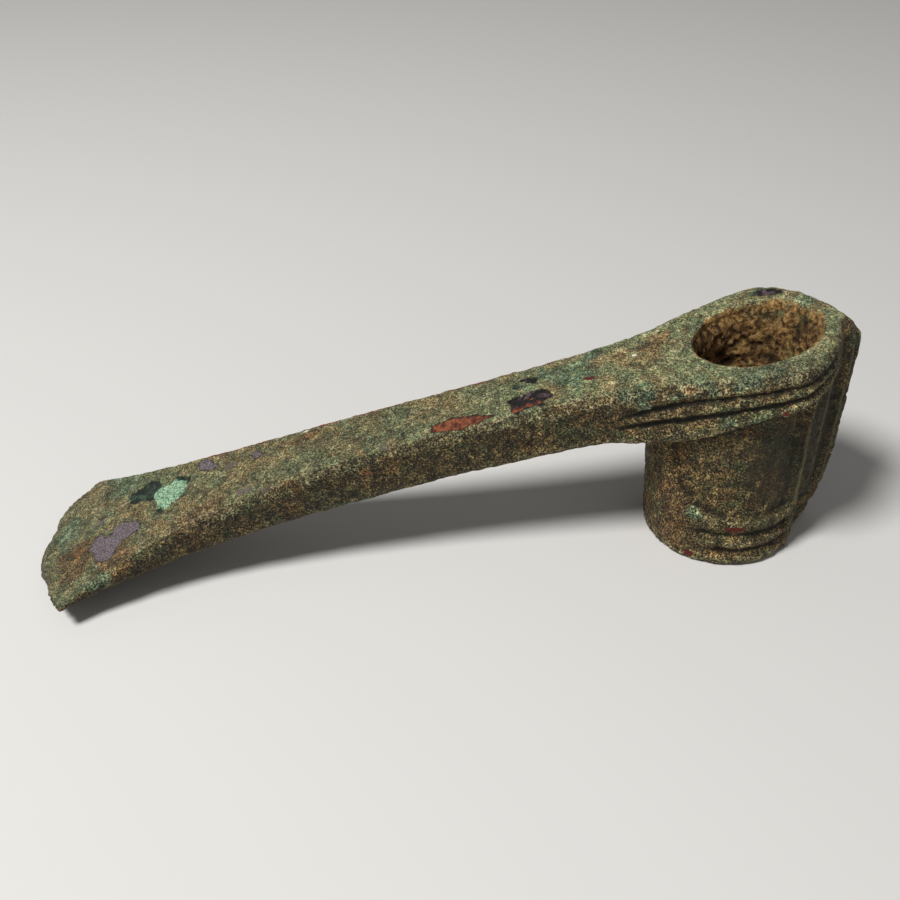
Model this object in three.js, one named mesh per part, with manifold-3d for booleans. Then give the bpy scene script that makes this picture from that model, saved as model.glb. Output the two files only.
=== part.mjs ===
// A bronze adze with a shaft hole: one casting, with the crusts that burial left on it.
// Millimetres, +Z up. The adze stands on its foot rim and its cutting edge, blade towards -X.
// Inside the group x = 0 is the middle of the socket; the group then moves the whole adze so that
// its origin is the middle of its bounding box, at the level it stands on.
import * as THREE from 'three';
import { mergeVertices } from 'three/addons/utils/BufferGeometryUtils.js';
import Module from 'manifold-3d';

const wasm = await Module();
wasm.setup();

// Socket: where the mouth lies, and how far its plane falls towards the blade
const mouthHeight = 61.75;
const mouthFall = THREE.MathUtils.degToRad(13.26);

// Blade, from its root at the socket to the cutting edge
const rootX = -18;
const cornerReach = 183.3;
const edgeBulge = 10.2;
const rootHalfWidth = 18;
const waistHalfWidth = 10;
const edgeHalfWidth = 27.2;
const edgeOffset = 0.9;
const edgeSkew = 1.3;
const edgeLopside = 1.4;
const edgeWear = 0.9;
const middleLobe = { y: -2.5, halfWidth: 6.5 };
const farLobe = { y: 19, halfWidth: 4.5, reach: 2.1 };
const cornerWear = 1.4;
const cornerWearPower = 12;
const neckShare = 0.11;
const flarePower = 5.7;
const bladeHump = 11.5;
const bladeDroop = 26;
const rootThickness = 16.3;
const rootSwell = 1.1;
const rootSwellX = -24;
const rootSwellSpan = 13;
const edgeThickness = 1.5;
const thinningPower = 4.2;
const farRidgeRadius = 1.2;
const nearRidgeRadius = 3;
const bellyRadius = 2.4;
const undersideShare = 0.91;

// Collar: the thick band round the mouth, with two grooves that run out on the blade's flanks
const cornerX = 1.5;
const collarHalfWidth = 22;
const collarBackX = 18.7;
const collarThickness = 12.2;
const collarThinningX = -26;
const rootBandSpan = 17.2;
const cornerBandSpan = 13;
const bandSpanStartX = -34;
const bandSpanEndX = -6;
const grooveDepth = 1.6;
const groovesMeetX = -26;
const grooveFullX = -33;
const grooveStopX = -40;

// Socket tube and the lower collar at its foot
const footBackX = 16;
const footFrontX = -25.6;
const footHalfWidth = 21.1;
const tubeHalfWidth = 18.6;
const frontFlare = 3.6;
const rootFillet = 2.5;
const lowerCollarHeight = 15.5;
const lowerGrooveDepth = 1.2;
const panelRecess = 1;
const tubeTopDepth = 12;
const tubeTopInset = 4.5;

// Keel at the back: a shoulder, two upright ribs and a nose on each side of the socket
const shoulderTop = [11.5, 13.2];
const shoulderFoot = [9, 15.9];
const shoulderRise = 0.6;
const secondRibTop = [17.2, 6.7];
const secondRibFoot = [15.3, 6.6];
const thirdRibTop = [21, 3.2];
const thirdRibFoot = [18.3, 2.8];
const keelReach = 25.4;
const keelFootReach = 20.4;
const keelSwell = 24;
const keelCrownStart = 56;
const keelCrownDrop = 6.6;
const keelCrownEnd = 67.2;
const keelTopDepth = 0.6;
const secondDrawShare = 0.35;
const thirdDrawShare = 0.75;
const keelGroove = 1.3;
const noseHalfWidth = 1.2;

// Shaft hole, oval at the mouth and nearly round at the foot
const mouthBore = { x: -2.6, halfLength: 16, halfWidth: 14 };
const footBore = { x: -4.7, halfLength: 15.2, halfWidth: 15.1 };
const cutOverrun = 6;

// Burial crusts
const seatGap = 0.3;
const liningThickness = 1.3;
const liningLump = 0.6;
const liningFootGap = 5;
const liningMouthGap = 2.5;
const crustPlace = [-156.6, 2.6];
const crustHalfLength = 5.6;
const crustHalfWidth = 3.9;
const crustThickness = 0.9;

const lerp = THREE.MathUtils.lerp;
const clamp = THREE.MathUtils.clamp;
const smoothstep = THREE.MathUtils.smoothstep;

// A closed geometry from a list of faces, each a list of points [x, y, z]
function geometryFromFaces(faces) {
  const positions = [];
  for (const face of faces) {
    for (let i = 1; i < face.length - 1; i += 1) {
      positions.push(...face[0], ...face[i], ...face[i + 1]);
    }
  }
  const soup = new THREE.BufferGeometry();
  soup.setAttribute('position', new THREE.Float32BufferAttribute(positions, 3));
  return mergeVertices(soup, 1e-4);
}

// A loft through rings of equal count, counter-clockwise seen from the last ring, with a fan at each end
function loft(rings) {
  const faces = [];
  const count = rings[0].length;
  for (let i = 0; i < rings.length - 1; i += 1) {
    for (let j = 0; j < count; j += 1) {
      const next = (j + 1) % count;
      faces.push([rings[i][j], rings[i][next], rings[i + 1][next], rings[i + 1][j]]);
    }
  }
  const middle = (ring) => [0, 1, 2].map((k) => ring.reduce((sum, point) => sum + point[k], 0) / count);
  const first = rings[0];
  const last = rings[rings.length - 1];
  for (let j = 0; j < count; j += 1) {
    const next = (j + 1) % count;
    faces.push([middle(first), first[next], first[j]]);
    faces.push([middle(last), last[j], last[next]]);
  }
  return geometryFromFaces(faces);
}

// manifold-3d solid of a merged geometry, and back
function toSolid(geometry) {
  const triVerts = [];
  const index = geometry.index.array;
  for (let i = 0; i < index.length; i += 3) {
    const [a, b, c] = [index[i], index[i + 1], index[i + 2]];
    if (a !== b && b !== c && c !== a) triVerts.push(a, b, c);
  }
  const mesh = new wasm.Mesh({
    numProp: 3,
    vertProperties: new Float32Array(geometry.attributes.position.array),
    triVerts: new Uint32Array(triVerts),
  });
  return new wasm.Manifold(mesh);
}

function toGeometry(solid) {
  const mesh = solid.getMesh();
  const geometry = new THREE.BufferGeometry();
  geometry.setAttribute('position', new THREE.BufferAttribute(mesh.vertProperties, mesh.numProp));
  geometry.setIndex(new THREE.BufferAttribute(mesh.triVerts, 1));
  geometry.computeVertexNormals();
  return geometry;
}

// Height of the top face: the flat mouth plane, then the blade's long hump and droop
function topHeight(x) {
  const share = clamp((rootX - x) / (cornerReach + edgeBulge + rootX), 0, 1);
  return mouthHeight + x * Math.tan(mouthFall) + bladeHump * share ** 2 - bladeDroop * share ** 3;
}

// Half width of the cutting edge, a little more on the near side (side -1) than on the far side (side 1)
function edgeHalf(side) {
  return edgeHalfWidth - side * edgeOffset;
}

// Half width of the blade, narrow at the waist and flaring to the edge
function bladeHalfWidth(share, side) {
  const flare = (edgeHalf(side) - waistHalfWidth) * share ** flarePower;
  const neck = (rootHalfWidth - waistHalfWidth) * Math.exp(-share / neckShare);
  return waistHalfWidth + flare + neck;
}

// How far the cutting edge reaches at a place across it. Wear has left it skewed and lopsided, with rounded
// corners and two lobes that stand a little proud, one at the middle and one on the far side
function edgeReach(y) {
  const across = clamp(y / edgeHalfWidth, -1, 1);
  const shape = edgeLopside * Math.sin(Math.PI * across) - edgeSkew * across;
  const middle = edgeWear * Math.exp(-(((y - middleLobe.y) / middleLobe.halfWidth) ** 4));
  const far = farLobe.reach * Math.exp(-(((y - farLobe.y) / farLobe.halfWidth) ** 2));
  const lost = edgeWear + cornerWear * Math.abs(across) ** cornerWearPower;
  return cornerReach + edgeBulge * (1 - across ** 2) + shape + middle + far - lost;
}

// Thickness under a point of the top face: swollen at the blade's root, thin at the cutting edge, even at
// the collar
function thicknessAt(x, y) {
  const share = clamp((rootX - x) / (edgeReach(y) + rootX), 0, 1);
  const blade = edgeThickness + (rootThickness - edgeThickness) * (1 - share ** thinningPower);
  const swell = rootSwell * Math.exp(-(((x - rootSwellX) / rootSwellSpan) ** 2));
  return lerp(blade, collarThickness, smoothstep(x, collarThinningX, cornerX)) + swell;
}

// Shares at which the half outline is stepped: across the edge, up the side, along the collar, round its back
const edgeStepShares = [0, 0.1, 0.2, 0.3, 0.4, 0.5, 0.6, 0.7, 0.79, 0.87, 0.93, 0.97];
const sideStepShares = [
  0.993, 0.97, 0.93, 0.88, 0.82, 0.75, 0.67, 0.59, 0.51, 0.43, 0.35, 0.28, 0.22, 0.17, 0.13, 0.095, 0.065,
  0.04, 0.02,
];
const collarSideShares = [
  [0, 0], [0.18, 0.22], [0.36, 0.45], [0.54, 0.67], [0.69, 0.83], [0.82, 0.93], [0.93, 0.985],
];
const collarBackShares = [
  [0.025, 1], [0.13, 0.985], [0.24, 0.945], [0.35, 0.885], [0.46, 0.81], [0.58, 0.715],
  [0.7, 0.6], [0.8, 0.49], [0.88, 0.38], [0.94, 0.27], [0.985, 0.13], [1, 0],
];

// Half outline of the adze seen from above, from the middle of the cutting edge round to the back of the
// collar, on the far side (side 1) or the near side (side -1). A point is its x, its distance from the centre
// line and the x of the point on that line that its section closes on
function planOutline(side) {
  const points = edgeStepShares.map((share, i) => {
    const centreX = edgeBulge * ((i + 1) / edgeStepShares.length - 1) - cornerReach;
    return [-edgeReach(side * edgeHalf(side) * share), edgeHalf(side) * share, centreX];
  });
  for (const share of sideStepShares) {
    const x = rootX - share * (edgeReach(side * edgeHalf(side)) + rootX);
    points.push([x, bladeHalfWidth(share, side), rootX - share * (cornerReach + rootX)]);
  }
  for (const [along, out] of collarSideShares) {
    const x = lerp(rootX, cornerX, along);
    points.push([x, lerp(rootHalfWidth, collarHalfWidth, out), x]);
  }
  for (const [along, out] of collarBackShares) {
    const x = lerp(cornerX, collarBackX, along);
    points.push([x, collarHalfWidth * out, (x * 3) / 4]);
  }
  return points;
}

// Section of the band: depth shares at the socket and where the grooves stop, and the inset there
const bandDepthShares = [
  0, 0.04, 0.11, 0.2, 0.3, 0.345, 0.38, 0.415, 0.5, 0.59, 0.625, 0.66, 0.77, 0.86, 0.95, 1,
];
const stopDepthShares = [
  0, 0.03, 0.1, 0.22, 0.38, 0.45, 0.49, 0.52, 0.555, 0.59, 0.62, 0.66, 0.77, 0.86, 0.95, 1,
];
const bandInsetShares = [1.3, 0.6, 0.15, 0, 0.1, 0.4, 1, 0.45, 0.15, 0.4, 0.9, 0.35, 0, 0, 0.35, 1];
const insideShares = [0, 0.45, 0.8];
const lowerGrooveShare = 0.64;
const widestSpanShare = 1.1;

// Inset of the plain blade's flank at a depth: a rounded ridge above, a lean, and a rounder edge below
function bladeInset(depth, thickness, halfWidth, ridgeRadius) {
  const above = Math.min(ridgeRadius, thickness / 2);
  const below = Math.min(bellyRadius, thickness / 2);
  const roundOff = (radius, distance) => {
    const left = Math.max(0, radius - distance);
    return radius - Math.sqrt(Math.max(0, radius ** 2 - left ** 2));
  };
  const lean = (1 - undersideShare) * halfWidth * (depth / thickness);
  return lean + roundOff(above, depth) + roundOff(below, thickness - depth);
}

// Blade and collar: a band carried round the plan outline, joined to the centre line above and below
function bandGeometry() {
  const faces = [];
  for (const side of [1, -1]) {
    const outline = planOutline(side);
    const last = outline.length - 1;
    const stations = outline.map((point, i) => {
      const before = outline[Math.max(0, i - 1)];
      const after = outline[Math.min(last, i + 1)];
      const along = new THREE.Vector2(after[0] - before[0], after[1] - before[1]).normalize();
      const outward = i === 0 ? [-1, 0] : [-along.y, along.x];
      const ridgeRadius = side > 0 ? farRidgeRadius : nearRidgeRadius;
      const half = stationPoints(point, i === last ? [1, 0] : outward, i, ridgeRadius);
      return half.map(([x, y, z]) => [x, side * y, z]);
    });
    for (let i = 0; i < last; i += 1) {
      for (let j = 0; j < stations[i].length - 1; j += 1) {
        const quad = [stations[i][j], stations[i + 1][j], stations[i + 1][j + 1], stations[i][j + 1]];
        faces.push(side > 0 ? quad : quad.reverse());
      }
    }
  }
  return geometryFromFaces(faces);
}

// Depth of a share of the band's section: fixed down to the lower groove, then stretched to the underside
function bandDepth(share, thickness, x) {
  const even = lerp(rootBandSpan, cornerBandSpan, smoothstep(x, bandSpanStartX, bandSpanEndX));
  const span = Math.min(even, widestSpanShare * thickness);
  if (share <= lowerGrooveShare) return share * span;
  return lerp(lowerGrooveShare * span, thickness, (share - lowerGrooveShare) / (1 - lowerGrooveShare));
}

// Points of one station, from the centre line over the top, down the flank and back to the centre line
function stationPoints([x, y, centreX], [outX, outY], i, ridgeRadius) {
  const thickness = i < edgeStepShares.length ? edgeThickness : thicknessAt(x, y);
  const converge = smoothstep(groovesMeetX - x, 0, groovesMeetX - grooveStopX);
  const grooved = smoothstep(x, grooveStopX, grooveFullX);
  const flank = bandDepthShares.map((share, j) => {
    const depth = bandDepth(lerp(share, stopDepthShares[j], converge), thickness, x);
    const plain = bladeInset(depth, thickness, y, ridgeRadius);
    const shaped = lerp(plain, grooveDepth * bandInsetShares[j], grooved);
    const inset = Math.min(shaped, Math.hypot(x - centreX, y) / 2);
    const px = x - inset * outX;
    const py = Math.max(0, y - inset * outY);
    return [px, py, topHeight(px) - depth];
  });
  const across = (end, share, depth) => {
    const px = lerp(centreX, end[0], share);
    const py = end[1] * share;
    return [px, py, topHeight(px) - (depth ? thicknessAt(px, py) : 0)];
  };
  const top = insideShares.map((share) => across(flank[0], share, false));
  const bottom = insideShares.map((share) => across(flank[flank.length - 1], share, true)).reverse();
  return [...top, ...flank, ...bottom];
}

// Levels of the socket tube: shares of the lower collar's height with their groove, then shares of the tube
// above
const lowerCollarShares = [
  [0, 0.75], [0.05, 0.12], [0.14, 0], [0.24, 0.1], [0.275, 0.45], [0.31, 1], [0.345, 0.45], [0.38, 0.1],
  [0.47, 0], [0.57, 0.1], [0.61, 0.45], [0.65, 1], [0.69, 0.45], [0.73, 0.1], [0.84, 0], [0.95, 0.1],
];
const tubeLevelShares = [0.03, 0.08, 0.15, 0.23, 0.32, 0.42, 0.56, 0.72, 0.87, 1];
const keelLevelShares = [0.03, 0.25, 0.45, 0.62, 0.76, 0.88, 1];

// How far the keel's crown has drawn back under the rim at a height
function crownDrawback(z) {
  return keelCrownDrop * clamp((z - keelCrownStart) / (keelCrownEnd - keelCrownStart), 0, 1) ** 2;
}

// How far the keel's nose reaches at a height: swelling from the foot, rounding over at the crown
function noseReach(z) {
  const swell = 1 - (1 - Math.min(1, z / keelSwell)) ** 2;
  return lerp(keelFootReach, keelReach, swell) - crownDrawback(z);
}

// Points between two upright ribs, with a rounded groove between them
const ribStepShares = [0, 0.2, 0.35, 0.5, 0.65, 0.8];
function fluted(from, to, depth) {
  const length = Math.hypot(to[0] - from[0], to[1] - from[1]);
  const inward = [(to[1] - from[1]) / length, (from[0] - to[0]) / length];
  return ribStepShares.map((share) => {
    const dip = depth * Math.sin(Math.PI * share) ** 2;
    return [lerp(from[0], to[0], share) + inward[0] * dip, lerp(from[1], to[1], share) + inward[1] * dip];
  });
}

// Half ring of the tube in plan: an oval front and side, then the keel's fluted flank
const ovalSteps = 20;
const ovalSweep = THREE.MathUtils.degToRad(126);
const frontSteps = 6;
const panelEdgeSteps = 3;
const lowPanelShare = 0.5;
const highPanelShare = 0.22;
const panelEdgeShare = 0.08;
const lowGrooveShare = 0.54;
const highGrooveShare = 0.38;
const grooveRampShare = 0.16;
function tubeHalfRing(z, groove, buried = 0) {
  const rise = clamp(z / (mouthHeight - tubeTopDepth), 0, 1);
  const fillet = rootFillet * smoothstep(rise, 0.75, 1) ** 2;
  const frontX = footFrontX - frontFlare * rise - fillet;
  const middleX = (frontX + footBackX) / 2;
  const halfLength = (footBackX - frontX) / 2 - buried;
  const halfWidth = lerp(footHalfWidth, tubeHalfWidth, rise) - buried;
  const upper = smoothstep(z, lowerCollarHeight * 0.8, lowerCollarHeight * 1.2);
  const climb = smoothstep(z, lowerCollarHeight, 2 * lowerCollarHeight);
  const panelStart = lerp(lowPanelShare, highPanelShare, climb);
  const panelEnd = panelStart + panelEdgeShare;
  const panelSteps = frontSteps + panelEdgeSteps;
  const grooveStart = lerp(lowGrooveShare, highGrooveShare, Math.min(1, z / lowerCollarHeight));
  const points = [];
  for (let i = 0; i <= ovalSteps; i += 1) {
    const beforePanel = (panelStart * i) / frontSteps;
    const onEdge = lerp(panelStart, panelEnd, (i - frontSteps) / panelEdgeSteps);
    const inPanel = lerp(panelEnd, 1, (i - panelSteps) / (ovalSteps - panelSteps));
    const share = i < frontSteps ? beforePanel : i < panelSteps ? onEdge : inPanel;
    const sideways = smoothstep(share, grooveStart, grooveStart + grooveRampShare);
    const inside = smoothstep(share, panelStart, panelEnd) * smoothstep(ovalSteps - i, 0, 2);
    const inset = groove * lowerGrooveDepth * sideways + panelRecess * upper * inside;
    const angle = ovalSweep * share;
    points.push([middleX - (halfLength - inset) * Math.cos(angle), (halfWidth - inset) * Math.sin(angle)]);
  }
  const drawback = crownDrawback(z);
  const place = (foot, top, drawShare) => {
    return [lerp(foot[0], top[0], upper) - drawback * drawShare, lerp(foot[1], top[1], upper)];
  };
  const stand = shoulderRise * upper - buried;
  const shoulder = [0, 1].map((k) => lerp(shoulderFoot[k], shoulderTop[k], rise) + stand * Math.SQRT1_2);
  const second = place(secondRibFoot, secondRibTop, secondDrawShare);
  const third = place(thirdRibFoot, thirdRibTop, thirdDrawShare);
  const nose = [noseReach(z) - noseHalfWidth / 2, noseHalfWidth];
  const depth = keelGroove * upper;
  const ribs = [[shoulder, second], [second, third], [third, nose]];
  const flank = [...ribs.flatMap(([from, to]) => fluted(from, to, depth)), nose];
  const cut = groove * lowerGrooveDepth * Math.SQRT1_2;
  for (const [x, y] of flank) points.push([x - cut, Math.max(y - cut, noseHalfWidth / 2)]);
  points.push([noseReach(z) - cut, 0]);
  return points;
}

// Full ring from a half ring that starts at the front and ends at the nose, both on the centre line
function mirroredRing(half, height) {
  const near = half.map(([x, y]) => [x, -y, height(x)]);
  const far = half.slice(1, -1).reverse().map(([x, y]) => [x, y, height(x)]);
  return [...near, ...far];
}

function tubeGeometry() {
  const rings = lowerCollarShares.map(([share, groove]) => {
    const z = lowerCollarHeight * share;
    return mirroredRing(tubeHalfRing(z, groove), () => z);
  });
  const top = mouthHeight - tubeTopDepth;
  for (const share of tubeLevelShares) {
    const z = lerp(lowerCollarHeight, top, share);
    rings.push(mirroredRing(tubeHalfRing(z, 0), (x) => z + share * x * Math.tan(mouthFall)));
  }
  for (const share of keelLevelShares) {
    const depth = lerp(tubeTopDepth, keelTopDepth, share);
    const noseHeight = topHeight(keelReach) - depth;
    rings.push(mirroredRing(tubeHalfRing(noseHeight, 0, tubeTopInset), (x) => topHeight(x) - depth));
  }
  return loft(rings);
}

// An oval of the shaft hole at a height, drawn in by an inset that may vary round it
const boreSteps = 40;
function boreRing(z, insetAt, steps, height) {
  const share = z / mouthHeight;
  const ring = [];
  for (let i = 0; i < steps; i += 1) {
    const angle = (2 * Math.PI * i) / steps;
    const inset = insetAt(angle);
    const x = lerp(footBore.x, mouthBore.x, share)
      + (lerp(footBore.halfLength, mouthBore.halfLength, share) - inset) * Math.cos(angle);
    const y = (lerp(footBore.halfWidth, mouthBore.halfWidth, share) - inset) * Math.sin(angle);
    ring.push([x, y, height(x)]);
  }
  return ring;
}

function boreGeometry() {
  const levels = [-cutOverrun, mouthHeight / 2, mouthHeight + 2 * cutOverrun];
  return loft(levels.map((z) => boreRing(z, () => 0, boreSteps, () => z)));
}

function castingGeometry() {
  const body = toSolid(bandGeometry()).add(toSolid(tubeGeometry()));
  return toGeometry(body.subtract(toSolid(boreGeometry())));
}

// Lining of burial crust: a lumpy sleeve in the shaft hole, its upper lip level with the sloping mouth
const liningSteps = 32;
const liningLevelShares = [0, 0.1, 0.22, 0.34, 0.46, 0.58, 0.7, 0.8, 0.9, 1];
function liningGeometry() {
  const outer = [];
  const inner = [];
  for (const share of liningLevelShares) {
    const z = lerp(liningFootGap, mouthHeight - liningMouthGap, share);
    const height = (x) => z + share * x * Math.tan(mouthFall);
    const taper = Math.sin(Math.PI * lerp(0.08, 0.92, share)) ** 0.5;
    const lump = (angle) => Math.sin(3 * angle + 9 * share) + Math.sin(5 * angle - 14 * share) / 2;
    const thickness = (angle) => (liningThickness + liningLump * lump(angle)) * taper;
    const innerInset = (angle) => 2 * seatGap + Math.max(seatGap, thickness(angle));
    outer.push(boreRing(z, () => seatGap, liningSteps, height));
    inner.push(boreRing(z, innerInset, liningSteps, height));
  }
  const wall = [...outer, ...inner.reverse()];
  const faces = [];
  for (let i = 0; i < wall.length; i += 1) {
    const upper = wall[(i + 1) % wall.length];
    for (let j = 0; j < liningSteps; j += 1) {
      const next = (j + 1) % liningSteps;
      faces.push([wall[i][j], wall[i][next], upper[next], upper[j]]);
    }
  }
  return toGeometry(toSolid(geometryFromFaces(faces)));
}

// Patch of pale green crust on the top of the blade: a low dome with a wavy outline, thin at its rim
const patchSteps = 16;
const patchRingShares = [[1, 0.3], [0.8, 0.75], [0.5, 0.95]];
function patchGeometry() {
  const around = (share, lift) => Array.from({ length: patchSteps }, (_, i) => {
    const angle = (2 * Math.PI * i) / patchSteps;
    const wave = share * (1 + Math.sin(3 * angle) / 8 + Math.sin(5 * angle) / 12);
    const x = crustPlace[0] + crustHalfLength * wave * Math.cos(angle);
    const y = crustPlace[1] + crustHalfWidth * wave * Math.sin(angle);
    return [x, y, topHeight(x) + seatGap + lift];
  });
  const rings = [around(0.5, 0), around(1, 0)];
  for (const [share, lift] of patchRingShares) rings.push(around(share, crustThickness * lift));
  return toGeometry(toSolid(loft(rings)));
}

// Materials, from the photograph
const bronze = new THREE.MeshStandardMaterial({ color: 0x6f6a4c, roughness: 0.85, metalness: 0.3 });
const concretion = new THREE.MeshStandardMaterial({ color: 0x8a5f38, roughness: 0.95, metalness: 0 });
const malachite = new THREE.MeshStandardMaterial({ color: 0x86b394, roughness: 0.9, metalness: 0 });

function subPart(name, geometry, material) {
  const mesh = new THREE.Mesh(geometry, material);
  mesh.name = name;
  return mesh;
}

const adze = new THREE.Group();
adze.add(subPart('adze_casting', castingGeometry(), bronze));
adze.add(subPart('socket_concretion', liningGeometry(), concretion));
adze.add(subPart('malachite_crust', patchGeometry(), malachite));
adze.position.x = (edgeReach(0) - keelReach) / 2;

export default adze;
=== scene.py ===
"""The looks of a socketed bronze adze: one corroded casting and the crusts that burial left on it."""

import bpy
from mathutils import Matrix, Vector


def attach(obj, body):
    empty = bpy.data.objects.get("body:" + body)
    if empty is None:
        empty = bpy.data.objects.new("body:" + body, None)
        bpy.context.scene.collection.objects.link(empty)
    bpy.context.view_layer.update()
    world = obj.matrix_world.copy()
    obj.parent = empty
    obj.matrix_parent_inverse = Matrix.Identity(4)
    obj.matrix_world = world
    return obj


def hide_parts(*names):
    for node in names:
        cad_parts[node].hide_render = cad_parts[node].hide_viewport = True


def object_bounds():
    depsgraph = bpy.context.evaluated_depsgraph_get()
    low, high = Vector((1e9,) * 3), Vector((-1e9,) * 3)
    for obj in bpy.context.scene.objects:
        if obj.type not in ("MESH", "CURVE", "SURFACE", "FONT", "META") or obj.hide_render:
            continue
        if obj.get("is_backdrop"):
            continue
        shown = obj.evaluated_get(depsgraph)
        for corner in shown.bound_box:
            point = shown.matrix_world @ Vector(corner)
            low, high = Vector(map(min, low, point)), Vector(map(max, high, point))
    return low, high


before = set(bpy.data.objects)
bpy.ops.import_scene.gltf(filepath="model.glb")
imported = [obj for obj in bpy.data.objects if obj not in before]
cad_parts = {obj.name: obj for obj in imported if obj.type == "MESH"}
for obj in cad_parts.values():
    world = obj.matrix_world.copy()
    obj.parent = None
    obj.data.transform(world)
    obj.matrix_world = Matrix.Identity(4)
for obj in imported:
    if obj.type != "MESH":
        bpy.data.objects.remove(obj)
cad_low, cad_high = (list(corner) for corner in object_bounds())

import math

import bpy
import numpy as np
from mathutils import Matrix, Vector

# Bronze casting
# The real adze is one cast piece: a long blade that flares to a worn cutting edge, and an upright
# socket with a ribbed collar at its mouth, a grooved collar at its foot and a fluted keel behind.
# Shapes are worked out in millimetres about the middle of the socket, blade towards -X.
MM = 0.001
KEEL_REACH = 25.4
SHIFT = cad_high[0] / MM - KEEL_REACH

# The mouth plane: its height at the middle of the socket, and its slope down towards the blade
MOUTH = 61.75
FALL = math.tan(math.radians(13.26))

# The blade's length and width, and its outline's spine and spacing
ROOT_X = -18.0
CORNER_REACH = 183.3
EDGE_BULGE = 10.2
EDGE_HALF = 26.8
FAR_HALF = 26.3
NEAR_HALF = 28.1
WAIST_HALF = 10
FLARE_POWER = 5.7
ROOT_SPREAD = 8
ROOT_SPREAD_SHARE = 0.11
SPINE_EDGE_SHARE = 0.86
SPINE_BACK_SHARE = 0.75
OUTLINE_STEP = 0.5
OUTLINE_SOFTNESS = 1.8
EDGE_POINTS, FLANK_POINTS, DEPTH_POINTS, FACE_POINTS = 80, 220, 50, 16

# The blade's profile, thickness and roundings
HUMP = 11.5
DROOP = 26
EDGE_THICK = 1.3
BLADE_THICK = 15.0
THINNING_POWER = 4.2
ROOT_SWELL = 1.1
ROOT_SWELL_X = -24
ROOT_SWELL_REACH = 13
FLANK_LEAN = 0.09
NEAR_RIDGE_ROUND = 3.6
FAR_RIDGE_ROUND = 1.7
UNDER_RIDGE_ROUND = 2.6

# The worn edge: how lopsided and how turned it is, and its nicks at places across the blade
EDGE_LOPSIDED = 1.4
EDGE_TURN = 1.3
WEAR_CHANGE_Y = 6
NICK_AT = [-28.1, -26, -24.5, -22.4, -18.2, -13, -11.7, -10.2, -8, 3, 4.4, 5.7, 10.6, 14, 16.6, 20.8, 22.4,
           25, 26.3]
NICK = [-1.2, -0.8, -0.3, -0.1, -0.1, -0.4, -0.7, -0.1, 0.5, 0.7, 0.1, -0.9, -0.7, 0.6, 1.7, 2.0, 1.0,
        -1.1, -2.0]

# The mouth collar: its size, its outline as shares of it, and the depths of its two grooves along x
CORNER_X = 1.5
COLLAR_HALF = 22.0
COLLAR_BACK = 19.2
COLLAR_ROOT_HALF = 18
COLLAR_THICK = 12.2
COLLAR_START_X = -26
COLLAR_GROOVE = 1.9
NEAR_RIM_ROUND = 4.6
FAR_RIM_ROUND = 1.9
UNDER_RIM_ROUND = 1.9
RIM_FLAT_SHARE, RIM_POWER = 0.4, 2.4
FOOT_RIB_SHARE = 0.55
GROOVE_FADE_X = (-41.5, -35)
SIDE_SHARES = [(0, 0), (0.18, 0.22), (0.36, 0.45), (0.54, 0.67), (0.69, 0.83), (0.82, 0.93), (0.93, 0.985)]
ROUND_SHARES = [(0.025, 1), (0.13, 0.985), (0.24, 0.945), (0.35, 0.885), (0.46, 0.81), (0.58, 0.715),
                (0.7, 0.6), (0.8, 0.49), (0.88, 0.38), (0.94, 0.27), (0.985, 0.13), (1, 0)]
GROOVE_AT = [-40, -36, -30, -24, -18, -10, 0, 18]
UPPER_GROOVE = [8.4, 7.7, 6.7, 5.9, 5.2, 4.9, 4.8, 4.6]
LOWER_GROOVE = [10.8, 10.7, 10.5, 10.3, 9.7, 8.9, 8.2, 8.0]

# The tube. A pair holds the value at the foot and the value at the mouth
COLLAR_LEVEL = MOUTH - 12
TUBE_TOP = MOUTH - 0.6
TUBE_FRONT_X = -25.6
TUBE_FRONT_LEAN = 3.6
TUBE_FRONT_FILLET = 2.5
TUBE_BACK_X = 16
TUBE_HALF = (21.1, 18.6)
TUBE_TURN = math.radians(133)
TUBE_RINGS, TUBE_POINTS = 130, 140
FILLET_START_SHARE = 0.75
BURIED = 4.5
BURIED_LEVELS = (50, 52)
PANEL_DEEP = 1.5
PANEL_LEVELS = (14.6, 16.4)
PANEL_EDGE_SHARE = 0.21
PANEL_FRONT_SOFT, PANEL_BACK_SOFT = 0.03, 0.05
PANEL_SWEEP_SHARE = 0.28
PANEL_SWEEP_FOOT = 14.5
PANEL_SWEEP_START = 16
PANEL_SWEEP_HEIGHT = 6
TILT_START = 15.5

# The foot collar: its grooves' depth and levels, and the levels and half heights of its ribs
FOOT_GROOVE = 1.6
FOOT_GROOVE_LEVELS = (4.9, 10.1)
LOW_RIB, LOW_RIB_HALF = 2.1, 2.8
MIDDLE_RIB, MIDDLE_RIB_HALF = 7.5, 2.6
TOP_RIB_END, TOP_RIB_FALL = 13.2, 3.1
RIB_POWER = 2.2
LOW_START_SHARES = (0.4, 0.53)
HIGH_START_SHARES = (0.33, 0.455)
START_CHANGE_LEVELS = (6, 9)
KEEL_GROOVE_SHARE = 0.35

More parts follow.
